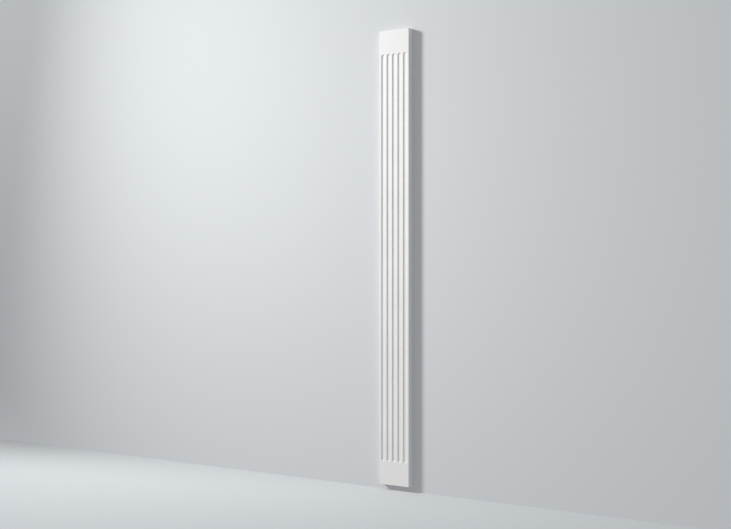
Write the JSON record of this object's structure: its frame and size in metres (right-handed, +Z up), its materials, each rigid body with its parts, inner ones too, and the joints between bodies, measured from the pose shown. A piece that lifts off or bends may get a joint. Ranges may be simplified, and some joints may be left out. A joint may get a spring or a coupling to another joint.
{
  "type": "fluted pilaster",
  "caption": "Tall flat-backed wall moulding with shallow round-ended flutes that stop short of a plain block at each end.",
  "frame": {"origin": "middle of the flat back, where the moulding meets its wall", "axes": "+Z up along the moulding, +Y out of the back into the wall, +X across the face to the right of someone who looks at it"},
  "size_m": [0.1778, 0.0286, 2.286],
  "materials": {
    "white_primer": "smooth satin white factory primer over moulded rigid foam"
  },
  "bodies": {
    "root": {"pilaster": "white_primer"}
  },
  "joints": []
}
